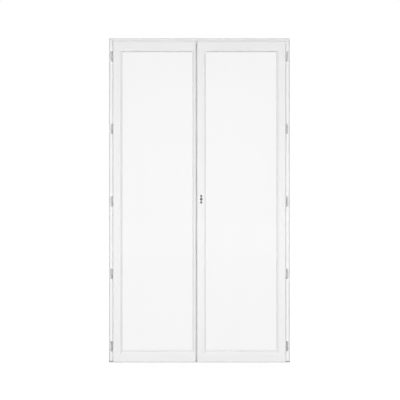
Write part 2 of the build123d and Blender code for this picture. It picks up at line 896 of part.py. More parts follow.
def make_cover_strip():
    """The strip on the outside of the left leaf that covers the gap between the leaves, and its seal."""
    face = leaf_back + cover_strip_depth
    outline = [
        (cover_strip_left, leaf_back),
        (left.meeting_edge, leaf_back),
        (left.meeting_edge, stop_face),
        (cover_strip_right, stop_face),
        (cover_strip_right, face),
        (cover_strip_left, face),
    ]
    with BuildPart() as cover_strip:
        in_plan(outline, strip_low, strip_high)
        chamfer(cover_strip.faces().sort_by(Axis.Y)[-1].edges().filter_by(Axis.Z), cover_strip_chamfer)
        seal_groove(strip_seal_plane, strip_high - strip_low)
    save(cover_strip, "left_cover_strip")
    with BuildPart() as strip_seal:
        seal_strip(strip_seal_plane, strip_high - strip_low)
    save(strip_seal, "left_strip_seal")


# Right leaf: meeting stile with its seal
meeting_seal_side = (right.lip + left.meeting_edge) / 2
meeting_seal_plane = Plane(
    origin=(meeting_seal_side, lip_back, leaf_bottom), x_dir=(-1, 0, 0), z_dir=(0, 0, 1)
)
lock_plate_depth = around(lock_middle, plate_width)
lock_plate_across = (right.meeting_edge, right.meeting_edge + plate_thickness)
rod_depth = around(lock_middle, rod_width)
rod_channel_depth = around(lock_middle, rod_width + 2 * slide_gap)
rod_across = (rod_front, rack_root)
bolt_across = (rod_front, rod_front + bolt_thickness)
lock_plate_height = (leaf_bottom + plate_end_gap, leaf_top - plate_end_gap)
case_across = (right.meeting_edge + plate_thickness, case_back)
case_height = (spindle_height - case_drop, spindle_height + case_rise)
case_front = lock_plate_depth[0] + case_wall
case_floor = lock_plate_depth[1] - case_wall
handle_screw_heights = around(spindle_height, handle_screw_pitch)


def make_right_meeting_stile():
    """The right leaf's meeting stile: lip, seal groove, lock mortise, rod channel and handle holes."""
    open_edge = right.meeting_edge - overrun
    drilling = lock_plate_depth[0] - leaf_front + overrun
    with BuildPart() as stile:
        in_plan(meeting_stile_section(right), lip_bottom, lip_top)
        bevel_stile(stile, 0)
        trim_stile_ends((right.lip - overrun, right.meeting_sight))
        for heights in (top_tenon_height, bottom_tenon_height):
            rail_tenons(right, heights, 0, Mode.SUBTRACT)
        seal_groove(meeting_seal_plane, leaf_top - leaf_bottom)
        block((open_edge, lock_plate_across[1]), lock_plate_depth, lock_plate_height, Mode.SUBTRACT)
        rod_channel = (open_edge, rack_root + slide_gap)
        channel_height = (leaf_bottom - overrun, leaf_top + overrun)
        block(rod_channel, rod_channel_depth, channel_height, Mode.SUBTRACT)
        bolt_channel = (open_edge, bolt_across[1] + slide_gap)
        bolt_room = bolt_tip_length + bolt_travel
        for height in (
            (leaf_top - bolt_room, leaf_top + overrun),
            (leaf_bottom - overrun, leaf_bottom + bottom_bolt_recess + bolt_room),
        ):
            block(bolt_channel, rod_channel_depth, height, Mode.SUBTRACT)
        block((open_edge, case_across[1]), lock_plate_depth, case_height, Mode.SUBTRACT)
        for height, radius in (
            (spindle_height, spindle_hole_radius),
            (handle_screw_heights[0], handle_lug_radius),
            (handle_screw_heights[1], handle_lug_radius),
        ):
            start = (spindle_place, leaf_front - overrun, height)
            round_bar(start, (0, 1, 0), radius, drilling, Mode.SUBTRACT)
    save(stile, "right_meeting_stile")
    with BuildPart() as meeting_seal:
        seal_strip(meeting_seal_plane, leaf_top - leaf_bottom)
    save(meeting_seal, "right_meeting_seal")


# Lock: a pinion on the handle's spindle drives two racks opposite ways, and with them the bolt rods
def involute(radius):
    """The angle by which an involute flank has turned at a radius."""
    base_radius = pitch_radius * math.cos(math.radians(pressure_angle))
    lean = math.acos(min(1, base_radius / radius))
    return math.tan(lean) - lean


def flank_angle(radius):
    """Half the angle of a pinion tooth at a radius."""
    half_at_pitch = (tooth_pitch - tooth_backlash) / 4 / pitch_radius
    return half_at_pitch + involute(pitch_radius) - involute(radius)


def on_circle(radius, angle):
    """A point about the spindle."""
    return (radius * math.cos(angle), radius * math.sin(angle))


def spindle_plane(depth):
    """A plane across the spindle, facing the room."""
    return Plane(origin=(spindle_place, depth, spindle_height), x_dir=(1, 0, 0), z_dir=(0, -1, 0))


def make_pinion():
    """The pinion: involute stub teeth, a journal at each end and a square hole for the spindle."""
    root_radius = pitch_radius - dedendum
    base_radius = pitch_radius * math.cos(math.radians(pressure_angle))
    tip_radius = pitch_radius + addendum
    middle_radius = (base_radius + tip_radius) / 2
    root_sink = root_radius - addendum
    flank = [(radius, flank_angle(radius)) for radius in (base_radius, middle_radius, tip_radius)]
    upper = [on_circle(radius, angle) for radius, angle in flank]
    lower = [on_circle(radius, -angle) for radius, angle in flank]
    foot_angle = flank[0][1]
    back_plane = spindle_plane(rod_depth[1])
    end_plane = spindle_plane(lock_plate_depth[1])
    with BuildPart() as pinion:
        with BuildSketch(back_plane):
            Circle(root_radius)
            with BuildSketch(mode=Mode.PRIVATE) as tooth:
                with BuildLine():
                    Polyline(
                        on_circle(root_sink, foot_angle),
                        *upper,
                        *reversed(lower),
                        on_circle(root_sink, -foot_angle),
                        close=True,
                    )
                make_face()
            with PolarLocations(0, pinion_teeth):
                add(tooth.sketch)
        extrude(amount=rod_width)
        with BuildSketch(end_plane):
            Circle(pinion_journal_radius)
        extrude(amount=plate_width)
        with BuildSketch(end_plane):
            Rectangle(spindle_square, spindle_square)
        extrude(amount=plate_width, mode=Mode.SUBTRACT)
    save(pinion, "spindle_pinion")


def rack_teeth(root, towards, heights):
    """Straight-sided rack teeth, in step with the pinion, along the heights that pass it."""
    slope = math.tan(math.radians(pressure_angle))
    half_at_pitch = (tooth_pitch - tooth_backlash) / 4
    half_foot = half_at_pitch + dedendum * slope
    half_tip = half_at_pitch - addendum * slope
    tip = root + towards * (addendum + dedendum)
    sunk = root - towards * addendum
    first = math.ceil((heights[0] - spindle_height) / tooth_pitch - 1 / 2)
    last = math.floor((heights[1] - spindle_height) / tooth_pitch - 1 / 2)
    for step in range(first, last + 1):
        height = spindle_height + (step + 1 / 2) * tooth_pitch
        outline = [
            (sunk, height - half_foot),
            (root, height - half_foot),
            (tip, height - half_tip),
            (tip, height + half_tip),
            (root, height + half_foot),
            (sunk, height + half_foot),
        ]
        in_elevation(outline, rod_depth[0], rod_depth[1])


def make_upper_rod():
    """The rod that bolts the right leaf to the head, with its rack on the near side of the pinion."""
    low = spindle_height - bolt_travel - rack_lead
    high = leaf_top - top_bolt_recess
    with BuildPart() as rod:
        block(rod_across, rod_depth, (low, high))
        block(bolt_across, rod_depth, (high - bolt_tip_length, high))
        chamfer(rod.faces().sort_by(Axis.Z)[-1].edges(), bolt_tip_chamfer)
        rack_teeth(rack_root, 1, (low, spindle_height + rack_lead))
    save(rod, "upper_rod")


def make_lower_rod():
    """The rod that bolts the right leaf to the threshold, cranked to a rack on the pinion's far side."""
    low = leaf_bottom + bottom_bolt_recess
    arm_top = spindle_height - rod_arm_drop
    arm = (arm_top - rod_arm_height, arm_top)
    rack_top = spindle_height + bolt_travel + rack_lead
    far_across = (far_rack_root, far_rack_root + rod_thickness)
    with BuildPart() as rod:
        block(bolt_across, rod_depth, (low, low + bolt_tip_length))
        chamfer(rod.faces().sort_by(Axis.Z)[0].edges(), bolt_tip_chamfer)
        block(rod_across, rod_depth, (low + bolt_tip_length, arm[1]))
        block((rod_across[0], far_across[1]), rod_depth, arm)
        block(far_across, rod_depth, (arm[0], rack_top))
        rack_teeth(far_rack_root, -1, (spindle_height - rack_lead, rack_top))
    save(rod, "lower_rod")


def make_lock_case():
    """The lock's open case with its screw posts, its cover and the long plate on the leaf's edge."""
    inner = (case_across[0] - overrun, case_across[1] - case_wall)
    inner_height = (case_height[0] + case_wall, case_height[1] - case_wall)
    rod_mouth = (case_across[0] - overrun, rack_root + slide_gap)
    bearing_radius = pinion_journal_radius + running_clearance
    spindle_start = (spindle_place, lock_plate_depth[0] - overrun, spindle_height)
    through = plate_width + 2 * overrun
    with BuildPart() as lock_case:
        block(case_across, (case_front, lock_plate_depth[1]), case_height)
        block(inner, (case_front - overrun, case_floor), inner_height, Mode.SUBTRACT)
        mouth_height = (case_height[0] - overrun, case_height[1] + overrun)
        block(rod_mouth, rod_channel_depth, mouth_height, Mode.SUBTRACT)
        for height in handle_screw_heights:
            post_across = around(spindle_place, handle_post_width)
            block(post_across, (case_front, case_floor), around(height, handle_post_width))
            hole = (spindle_place, case_front - overrun, height)
            round_bar(hole, (0, 1, 0), handle_screw_radius, through, Mode.SUBTRACT)
        round_bar(spindle_start, (0, 1, 0), bearing_radius, through, Mode.SUBTRACT)
    save(lock_case, "lock_case")
    with BuildPart() as lock_cover:
        block(case_across, (lock_plate_depth[0], case_front), case_height)
        round_bar(spindle_start, (0, 1, 0), bearing_radius, through, Mode.SUBTRACT)
        for height in handle_screw_heights:
            hole = (spindle_place, lock_plate_depth[0] - overrun, height)
            round_bar(hole, (0, 1, 0), handle_screw_radius, through, Mode.SUBTRACT)
    save(lock_cover, "lock_cover")
    with BuildPart() as faceplate:
        block(lock_plate_across, lock_plate_depth, lock_plate_height)
    save(faceplate, "lock_faceplate")


os.makedirs("parts", exist_ok=True)
make_jamb("left_jamb", -1)
make_jamb("right_jamb", 1)
make_head()
make_threshold()
make_frame_seals()
make_keep("head_keep", rebate_top, rebate_top + keep_thickness)
make_keep("threshold_keep", base_thickness - keep_thickness, base_thickness)
make_hinges("left", -1)
make_hinges("right", 1)
for leaf in (left, right):
    make_hinge_stile(leaf)
    make_rails(leaf)
    make_glazing(leaf)
make_drip_rail(left, cover_strip_left - drip_side_gap)
make_drip_rail(right, cover_strip_right + drip_meeting_gap)
make_left_meeting_stile()
make_cover_strip()
make_flush_bolts()
make_right_meeting_stile()
make_pinion()
make_upper_rod()
make_lower_rod()
make_lock_case()
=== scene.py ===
"""French doors: finishes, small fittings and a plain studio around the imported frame.

Metres, in the part's own frame: +X to the right seen from the room, +Y outdoors, +Z up.
"""

import json
import math

import bpy
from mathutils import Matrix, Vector


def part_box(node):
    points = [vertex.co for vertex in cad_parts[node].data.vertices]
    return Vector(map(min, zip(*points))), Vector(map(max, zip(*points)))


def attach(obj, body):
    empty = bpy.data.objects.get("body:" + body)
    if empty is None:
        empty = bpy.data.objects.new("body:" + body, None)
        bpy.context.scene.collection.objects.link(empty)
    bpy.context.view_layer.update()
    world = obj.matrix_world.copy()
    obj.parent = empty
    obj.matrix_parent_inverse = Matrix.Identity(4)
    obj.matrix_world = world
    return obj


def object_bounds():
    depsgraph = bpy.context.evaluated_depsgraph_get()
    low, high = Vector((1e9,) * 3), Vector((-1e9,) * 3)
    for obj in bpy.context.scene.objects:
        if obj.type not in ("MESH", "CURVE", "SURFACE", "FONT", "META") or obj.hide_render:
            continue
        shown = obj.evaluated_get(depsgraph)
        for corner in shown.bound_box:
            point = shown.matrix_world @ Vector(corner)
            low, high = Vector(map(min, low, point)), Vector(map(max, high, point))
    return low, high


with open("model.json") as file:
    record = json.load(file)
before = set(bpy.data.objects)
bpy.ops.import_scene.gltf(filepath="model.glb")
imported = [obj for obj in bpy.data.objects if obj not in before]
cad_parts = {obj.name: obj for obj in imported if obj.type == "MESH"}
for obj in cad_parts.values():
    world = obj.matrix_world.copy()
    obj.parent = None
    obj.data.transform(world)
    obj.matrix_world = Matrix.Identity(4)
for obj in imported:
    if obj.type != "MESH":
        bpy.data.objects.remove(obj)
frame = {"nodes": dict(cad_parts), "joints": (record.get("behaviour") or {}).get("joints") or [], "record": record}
cad_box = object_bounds()

bl_info = {
    "name": "French doors",
    "version": (1, 0, 0),
    "blender": (4, 5, 0),
    "location": "3D View > Sidebar > French Doors",
    "description": "Finishes, fittings and studio for a pair of glazed french doors",
    "category": "Object",
}

MILLIMETRE = 0.001
ACROSS, THROUGH, UPRIGHT = 0, 1, 2
WHITE = (1.0, 1.0, 1.0, 1.0)


def linear(hex_colour):
    """An sRGB hex colour as linear red, green, blue and alpha."""
    channels = [int(hex_colour[place : place + 2], 16) / 255 for place in (1, 3, 5)]
    return [c / 12.92 if c <= 0.04045 else ((c + 0.055) / 1.055) ** 2.4 for c in channels] + [1.0]


def colour_setting(name, description, hex_colour):
    """A colour that the user can change, given as sRGB hex."""
    return bpy.props.FloatVectorProperty(
        name=name,
        description=description,
        subtype="COLOR",
        size=4,
        min=0.0,
        max=1.0,
        default=linear(hex_colour),
    )


def length_setting(name, description, millimetres):
    """A length that the user can change, given in millimetres."""
    return bpy.props.FloatProperty(
        name=name,
        description=description,
        unit="LENGTH",
        default=millimetres * MILLIMETRE,
    )


class FinishSettings(bpy.types.PropertyGroup):
    """Colours of the doors' materials."""

    lacquer: colour_setting("Lacquer", "White satin lacquer on the timber", "#F0F0F0")
    lacquer_shade: colour_setting("Lacquer shade", "Thinner patches of the lacquer", "#EDEDED")
    glass: colour_setting("Glass", "Clear float glass", "#FCFCFC")
    hinge: colour_setting("Hinges", "Satin chrome on the hinges", "#F8F8F8")
    plate: colour_setting("Plates", "Zinc on the lock plate, rods and bolts", "#CBCCCB")
    aluminium: colour_setting("Aluminium", "Anodised threshold", "#E6E7E8")
    blackened: colour_setting("Lock case", "Black phosphate on the lock case", "#1F1F20")
    pinion: colour_setting("Pinion", "Black-oiled steel of the pinion", "#343436")
    seal: colour_setting("Seals", "Grey rubber of the door seals", "#9A9A98")
    gasket: colour_setting("Gaskets", "Pale rubber against the glass", "#E9E9E7")
    spacer: colour_setting("Spacer bars", "White coat on the spacer bars", "#F0F0EF")
    sealant: colour_setting("Sealant", "Black sealant round the glass units", "#171717")
    setting_block: colour_setting("Setting blocks", "Plastic under the glass units", "#3C3C40")
    nylon: colour_setting("Washers", "White nylon between the hinge halves", "#F4F4F2")


class FittingSettings(bpy.types.PropertyGroup):
    """Sizes of the small fittings."""

    screw_radius: length_setting("Screw head radius", "Radius of a countersunk head", 2.4)
    screw_proud: length_setting("Screw head height", "How far a head stands proud of its plate", 0.35)
    keep_edge: length_setting("Keep edge distance", "From the end of a keep to its first screw", 3.0)
    plate_edge: length_setting("Plate edge distance", "From a long plate's end to its first screw", 8.0)
    washer_radius: length_setting("Washer radius", "Outer radius of a hinge washer", 6.5)
    washer_bore: length_setting("Washer bore", "Radius of the hole round the hinge pin", 3.6)
    washer_thickness: length_setting("Washer thickness", "Gap between the hinge knuckles", 2.0)
    knuckle_length: length_setting("Knuckle length", "Length of each hinge knuckle", 32.0)
    hinge_count: bpy.props.IntProperty(
        name="Hinges a side", description="Pin hinges on each jamb", default=5, min=2
    )
    lock_screw_count: bpy.props.IntProperty(
        name="Lock plate screws", description="Screws along the lock's long plate", default=9, min=2
    )
    keep_screw_count: bpy.props.IntProperty(
        name="Keep screws", description="Screws in each keep", default=3, min=2
    )


class StudioSettings(bpy.types.PropertyGroup):
    """The studio around the doors."""

    camera_distance: length_setting("Camera distance", "From the frame's face to the camera", 5000)
    camera_side: length_setting("Camera side step", "How far right of the middle the camera stands", 4)
    camera_rise: length_setting("Camera rise", "How far above half height the camera stands", 1)
    picture_width: length_setting("Picture width", "Width of the picture at the frame's face", 2653)
    floor: colour_setting("Floor", "Matte floor that takes the doors' shadow", "#F4F4F4")
    bounce: colour_setting("Floor bounce", "Floor as it throws light back at the doors", "#9A9A9A")
    key_power: bpy.props.FloatProperty(
        name="Key lights",
        description="Power of each softbox beside the camera",
        subtype="POWER",
        default=188.0,
    )
    back_power: bpy.props.FloatProperty(
        name="Back lights",
        description="Power of each softbox outdoors",
        subtype="POWER",
        default=145.0,
    )
    ambient: bpy.props.FloatProperty(
        name="Ambient", description="Brightness of the room's walls as light", default=0.10, min=0.0
    )
    outdoors: bpy.props.FloatProperty(
        name="Outdoors", description="Brightness of the outdoor side as light", default=0.70, min=0.0
    )
    front_wall: bpy.props.FloatProperty(
        name="Front wall", description="Brightness of the wall behind the camera in a mirror", default=1.0
    )
    wall_ring: bpy.props.FloatProperty(
        name="Wall ring", description="Brightness round the front wall in a mirror", default=0.3
    )
    side_walls: bpy.props.FloatProperty(
        name="Side walls", description="Brightness of the side walls in a mirror", default=0.75
    )


def add_node(tree, kind, inputs=None, **settings):
    """Add a node, set it, and give its inputs values, sockets or other nodes' first outputs."""
    node = tree.nodes.new(kind)
    for name, value in settings.items():
        setattr(node, name, value)
    for key, value in (inputs or {}).items():
        named = [socket for socket in node.inputs if socket.enabled and socket.name == key]
        socket = named[0] if named else node.inputs[key]
        if isinstance(value, bpy.types.Node):
            value = next(output for output in value.outputs if output.enabled)
        if isinstance(value, bpy.types.NodeSocket):
            tree.links.new(value, socket)
        else:
            socket.default_value = value
    return node


# Materials


# The values between which most of a noise pattern lies
PATTERN_MIDDLE = {"From Min": 0.3, "From Max": 0.7}
# How far the roughness of metal, rubber and plastic strays to each side
ROUGHNESS_SPREAD = 0.06


def new_material(name):
    """An empty material and its node tree."""
    material = bpy.data.materials.new(name)
    material.use_nodes = True
    material.node_tree.nodes.clear()
    return material, material.node_tree


def soft_pattern(tree, across_mm, along_mm, axis, detail=2.0):
    """A pattern with soft cells of a real size, drawn out along one axis of the object."""
    cell = [across_mm * MILLIMETRE] * 3
    cell[axis] = along_mm * MILLIMETRE
    place = add_node(tree, "ShaderNodeTexCoord").outputs["Object"]
    cells = add_node(tree, "ShaderNodeMapping", {"Vector": place, "Scale": [1 / size for size in cell]})
    return add_node(tree, "ShaderNodeTexNoise", {"Vector": cells, "Scale": 1.0, "Detail": detail})


def darker(colour, share):
    """A colour with a share of its light taken away."""
    return [channel * (1 - share) for channel in colour[:3]] + [1.0]


def dressed_surface(tree, tone, colours, gloss, roughness, reliefs, edge_mm, constants):
    """A surface whose colour follows one pattern and whose gloss follows another, with reliefs of a real
    depth each, in millimetres, and edges rubbed to a real radius."""
    blend = add_node(tree, "ShaderNodeMapRange", {"Value": tone, **PATTERN_MIDDLE})
    colour_inputs = {"Factor": blend, "A": colours[0], "B": colours[1]}
    colour = add_node(tree, "ShaderNodeMix", colour_inputs, data_type="RGBA")
    limits = {"To Min": roughness[0], "To Max": roughness[1]}
    polish = add_node(tree, "ShaderNodeMapRange", {"Value": gloss, **PATTERN_MIDDLE, **limits})
    normal = add_node(tree, "ShaderNodeBevel", {"Radius": edge_mm * MILLIMETRE}, samples=4)
    for pattern, depth_mm in reliefs:
        depth = depth_mm * MILLIMETRE
        normal = add_node(tree, "ShaderNodeBump", {"Height": pattern, "Distance": depth, "Normal": normal})
    inputs = {"Base Color": colour, "Roughness": polish, "Normal": normal, **constants}
    shader = add_node(tree, "ShaderNodeBsdfPrincipled", inputs)
    add_node(tree, "ShaderNodeOutputMaterial", {"Surface": shader})


def satin_lacquer(name, finish, grain_axis):
    """Sprayed white lacquer on pine: an even satin white with a faint orange peel, under which the long
    grain only shifts the gloss. Its edges are softly rubbed."""
    material, tree = new_material(name)
    patches = soft_pattern(tree, across_mm=240, along_mm=600, axis=grain_axis)
    grain = soft_pattern(tree, across_mm=3, along_mm=160, axis=grain_axis, detail=3.0)
    # The real peel is about 1 mm across, drawn at 3 mm so that it shows
    peel = soft_pattern(tree, across_mm=3, along_mm=3, axis=grain_axis, detail=1.0)
    dressed_surface(
        tree,
        tone=patches,
        colours=(finish.lacquer, finish.lacquer_shade),
        gloss=grain,
        roughness=(0.34, 0.44),
        reliefs=((grain, 0.02), (peel, 0.015)),
        edge_mm=0.9,
        constants={"IOR": 1.5},
    )
    return material


def float_glass(finish):
    """Clear float glass: flat, hard and colourless, with a hardly visible drift of tone along the draw of
    the ribbon. Lamps shine through it."""
    material, tree = new_material("Clear float glass")
    draw = soft_pattern(tree, across_mm=150, along_mm=900, axis=UPRIGHT, detail=1.0)
    tones = {"Factor": draw, "A": finish.glass, "B": darker(finish.glass, share=0.01)}
    colour = add_node(tree, "ShaderNodeMix", tones, data_type="RGBA")
    inputs = {"Base Color": colour, "Roughness": 0.0, "IOR": 1.52, "Transmission Weight": 1.0}
    shader = add_node(tree, "ShaderNodeBsdfPrincipled", inputs)
    clear = add_node(tree, "ShaderNodeBsdfTransparent", {"Color": darker(finish.glass, share=0.05)})
    shadow = add_node(tree, "ShaderNodeLightPath").outputs["Is Shadow Ray"]
    pane = add_node(tree, "ShaderNodeMixShader", {0: shadow, 1: shader, 2: clear})
    add_node(tree, "ShaderNodeOutputMaterial", {"Surface": pane})
    return material


def worked_metal(name, colour, roughness, line_mm, line_axis, edge_mm=0.5):
    """Bare or plated metal with the fine lines that rolling, drawing or turning leaves along it, and soft
    clouds in its plating. Its edges are broken."""
    line_stretch = 120
    material, tree = new_material(name)
    lines = soft_pattern(tree, across_mm=line_mm, along_mm=line_mm * line_stretch, axis=line_axis)
    clouds = soft_pattern(tree, across_mm=18, along_mm=30, axis=UPRIGHT)
    dressed_surface(
        tree,
        tone=clouds,
        colours=(colour, darker(colour, share=0.12)),
        gloss=lines,
        roughness=(roughness - ROUGHNESS_SPREAD, roughness + ROUGHNESS_SPREAD),
        reliefs=[(lines, 0.01)],
        edge_mm=edge_mm,
        constants={"Metallic": 1.0},
    )
    return material


def matte_coat(name, colour, roughness, skin_mm, ior):
    """Extruded rubber, moulded plastic or a phosphate coat: matte, with a fine skin and slight mottling."""
    material, tree = new_material(name)
    skin = soft_pattern(tree, across_mm=skin_mm, along_mm=skin_mm, axis=UPRIGHT, detail=3.0)
    mottle = soft_pattern(tree, across_mm=40, along_mm=90, axis=UPRIGHT)
    dressed_surface(
        tree,
        tone=mottle,
        colours=(colour, darker(colour, share=0.1)),
        gloss=skin,
        roughness=(roughness - ROUGHNESS_SPREAD, roughness + ROUGHNESS_SPREAD),
        reliefs=[(skin, 0.02)],
        edge_mm=0.4,
        constants={"IOR": ior},
    )
    return material


# Finishes of the pieces in the frame


def pieces_of(slot):
    """The objects that the record gives a material slot."""
    rows = [row for row in frame["record"]["subparts"] if row["material_slot"] == slot]
    if not rows:
        raise RuntimeError(f"no piece of the doors has the finish {slot}")
    return [frame["nodes"][row["node"]] for row in rows]


def coat(piece, material):
    """Give a piece one material."""
    piece.data.materials.clear()
    piece.data.materials.append(material)


def coat_all(slot, material):
    """Give every piece of a slot one material."""
    for piece in pieces_of(slot):
        coat(piece, material)


def long_axis(piece):
    """The axis along which a piece is longest."""
    low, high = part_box(piece.name)
    return max(range(3), key=lambda axis: high[axis] - low[axis])


class FRENCHDOORS_OT_timber(bpy.types.Operator):
    """Lacquer the frame, the leaves, the beads and the outdoor mouldings, with the grain along each"""

    bl_idname = "french_doors.timber"
    bl_label = "Lacquer the timber"

    def execute(self, context):
        finish = context.scene.french_doors_finish
        along = {
            ACROSS: satin_lacquer("White satin lacquer, grain across", finish, ACROSS),
            UPRIGHT: satin_lacquer("White satin lacquer, grain upright", finish, UPRIGHT),
        }
        for piece in pieces_of("white_lacquer"):
            coat(piece, along[long_axis(piece)])
        return {"FINISHED"}


class FRENCHDOORS_OT_glazing(bpy.types.Operator):
    """Finish the glass units with their gaskets, spacer bars, sealant and setting blocks"""

    bl_idname = "french_doors.glazing"
    bl_label = "Finish the glazing"

    def execute(self, context):
        finish = context.scene.french_doors_finish
        coat_all("clear_glass", float_glass(finish))
        coats = (
            ("glazing_rubber", "Pale glazing rubber", finish.gasket, 0.6, 0.8, 1.52),
            ("spacer_aluminium", "White-coated aluminium", finish.spacer, 0.4, 1.0, 1.5),
            ("edge_sealant", "Black polysulphide", finish.sealant, 0.55, 2.0, 1.6),
            ("setting_plastic", "Moulded polypropylene", finish.setting_block, 0.5, 1.5, 1.49),
        )
        for slot, name, colour, roughness, skin_mm, ior in coats:
            coat_all(slot, matte_coat(name, colour, roughness, skin_mm, ior))
        return {"FINISHED"}


class FRENCHDOORS_OT_seals(bpy.types.Operator):
    """Finish the rubber seals in the stops and between the leaves"""

    bl_idname = "french_doors.seals"
    bl_label = "Finish the seals"

    def execute(self, context):
        finish = context.scene.french_doors_finish
        rubber = matte_coat("Grey seal rubber", finish.seal, roughness=0.62, skin_mm=0.8, ior=1.52)
        coat_all("grey_seal", rubber)
        return {"FINISHED"}


class FRENCHDOORS_OT_metalwork(bpy.types.Operator):
    """Finish the threshold, the hinges, the lock and the bolts"""

    bl_idname = "french_doors.metalwork"
    bl_label = "Finish the metalwork"

    def execute(self, context):
        finish = context.scene.french_doors_finish
        metals = (
            ("sill_aluminium", "Anodised aluminium", finish.aluminium, 0.38, 0.8, ACROSS, 0.5),
            ("hinge_steel", "Satin chrome on steel", finish.hinge, 0.36, 0.5, ACROSS, 2.5),
            ("plated_steel", "Zinc-plated steel", finish.plate, 0.32, 0.7, UPRIGHT, 0.5),
            ("pinion_steel", "Black-oiled steel", finish.pinion, 0.42, 0.4, THROUGH, 0.5),
        )
        for slot, name, colour, roughness, line_mm, line_axis, edge_mm in metals:
            coat_all(slot, worked_metal(name, colour, roughness, line_mm, line_axis, edge_mm))
        phosphate = matte_coat(
            "Black phosphated steel", finish.blackened, roughness=0.56, skin_mm=1.5, ior=1.6
        )
        coat_all("blackened_steel", phosphate)
        return {"FINISHED"}


# Small fittings, grown by Geometry Nodes


ROW_INPUTS = {
    "Count": "NodeSocketInt",
    "Start": "NodeSocketVector",
    "Step": "NodeSocketVector",
    "Facing": "NodeSocketVector",
    "Radius": "NodeSocketFloat",
    "Thickness": "NodeSocketFloat",
    "Material": "NodeSocketMaterial",
}
FACING = {
    "+X": (0.0, math.pi / 2, 0.0),
    "-X": (0.0, -math.pi / 2, 0.0),
    "+Z": (0.0, 0.0, 0.0),
    "-Z": (math.pi, 0.0, 0.0),
}
# Shares of a screw head's radius: its flat top, and the length and width of its cross recess
HEAD_TOP_SHARE = 0.82
RECESS_LENGTH_SHARE = 1.15
RECESS_WIDTH_SHARE = 0.26
# Longer than any washer is thick
DRILL_LENGTH = 1.0


def new_row_tree(name, more_inputs):
    """A geometry tree for a row of like pieces, and the sockets of its named inputs."""
    tree = bpy.data.node_groups.new(name, "GeometryNodeTree")
    for label, kind in {**ROW_INPUTS, **more_inputs}.items():
        tree.interface.new_socket(label, in_out="INPUT", socket_type=kind)
    tree.interface.new_socket("Geometry", in_out="OUTPUT", socket_type="NodeSocketGeometry")
    return tree, tree.nodes.new("NodeGroupInput").outputs


def lay_row(tree, given, shape):
    """Copies of a shape in a straight row, each turned to the row's facing."""
    places = {"Count": given["Count"], "Start Location": given["Start"], "Offset": given["Step"]}
    line = add_node(tree, "GeometryNodeMeshLine", places)
    copies = {"Points": line, "Instance": shape, "Rotation": given["Facing"]}
    return add_node(tree, "GeometryNodeInstanceOnPoints", copies)


def end_row_tree(tree, given, row):
    """Make the row real, give it its material and put it out."""
    real = add_node(tree, "GeometryNodeRealizeInstances", {"Geometry": row})
    coated = add_node(tree, "GeometryNodeSetMaterial", {"Geometry": real, "Material": given["Material"]})
    add_node(tree, "NodeGroupOutput", {"Geometry": coated})


def cross_recess(tree, given):
    """The cutter for a screw's cross recess: two crossed bars in the top half of the head."""
    lift = add_node(tree, "ShaderNodeCombineXYZ", {"Z": given["Thickness"]})
    bars = add_node(tree, "GeometryNodeJoinGeometry")
    lengthways = (RECESS_LENGTH_SHARE, RECESS_WIDTH_SHARE, 0.0)
    crossways = (RECESS_WIDTH_SHARE, RECESS_LENGTH_SHARE, 0.0)
    for shares in (lengthways, crossways):
        scaled = {0: shares, "Scale": given["Radius"]}
        arms = add_node(tree, "ShaderNodeVectorMath", scaled, operation="SCALE")
        size = add_node(tree, "ShaderNodeVectorMath", {0: arms, 1: lift}, operation="ADD")
        bar = add_node(tree, "GeometryNodeMeshCube", {"Size": size})
        tree.links.new(bar.outputs["Mesh"], bars.inputs["Geometry"])
    return add_node(tree, "GeometryNodeTransform", {"Geometry": bars, "Translation": lift})


def screw_tree():
    """A row of countersunk screw heads with cross recesses, each driven to its own angle."""
    more_inputs = {"Top radius": "NodeSocketFloat", "Seed": "NodeSocketInt"}
    tree, given = new_row_tree("Countersunk screws", more_inputs)
    cone = {
        "Vertices": 24,
        "Radius Top": given["Top radius"],
        "Radius Bottom": given["Radius"],
        "Depth": given["Thickness"],
    }
    head = add_node(tree, "GeometryNodeMeshCone", cone)
    cut = {"Mesh 1": head, "Mesh 2": cross_recess(tree, given), "Self Intersection": True}
    recessed = add_node(tree, "GeometryNodeMeshBoolean", cut, operation="DIFFERENCE", solver="EXACT")
    quarter = {"Min": 0.0, "Max": math.pi / 2, "Seed": given["Seed"]}
    turn = add_node(tree, "FunctionNodeRandomValue", quarter, data_type="FLOAT")
    spin = add_node(tree, "ShaderNodeCombineXYZ", {"Z": turn})
    row = lay_row(tree, given, recessed)
    driving = {"Instances": row, "Rotation": spin, "Local Space": True}
    driven = add_node(tree, "GeometryNodeRotateInstances", driving)
    end_row_tree(tree, given, driven)
    return tree


def washer_tree():
    """A row of flat washers."""
    tree, given = new_row_tree("Hinge washers", {"Bore": "NodeSocketFloat"})
    rim = {"Vertices": 40, "Radius": given["Radius"], "Depth": given["Thickness"]}
    hole = {"Vertices": 40, "Radius": given["Bore"], "Depth": DRILL_LENGTH}
    disc = add_node(tree, "GeometryNodeMeshCylinder", rim)
    drill = add_node(tree, "GeometryNodeMeshCylinder", hole)
    bored = {"Mesh 1": disc, "Mesh 2": drill}
    ring = add_node(tree, "GeometryNodeMeshBoolean", bored, operation="DIFFERENCE", solver="EXACT")
    end_row_tree(tree, given, lay_row(tree, given, ring))
    return tree


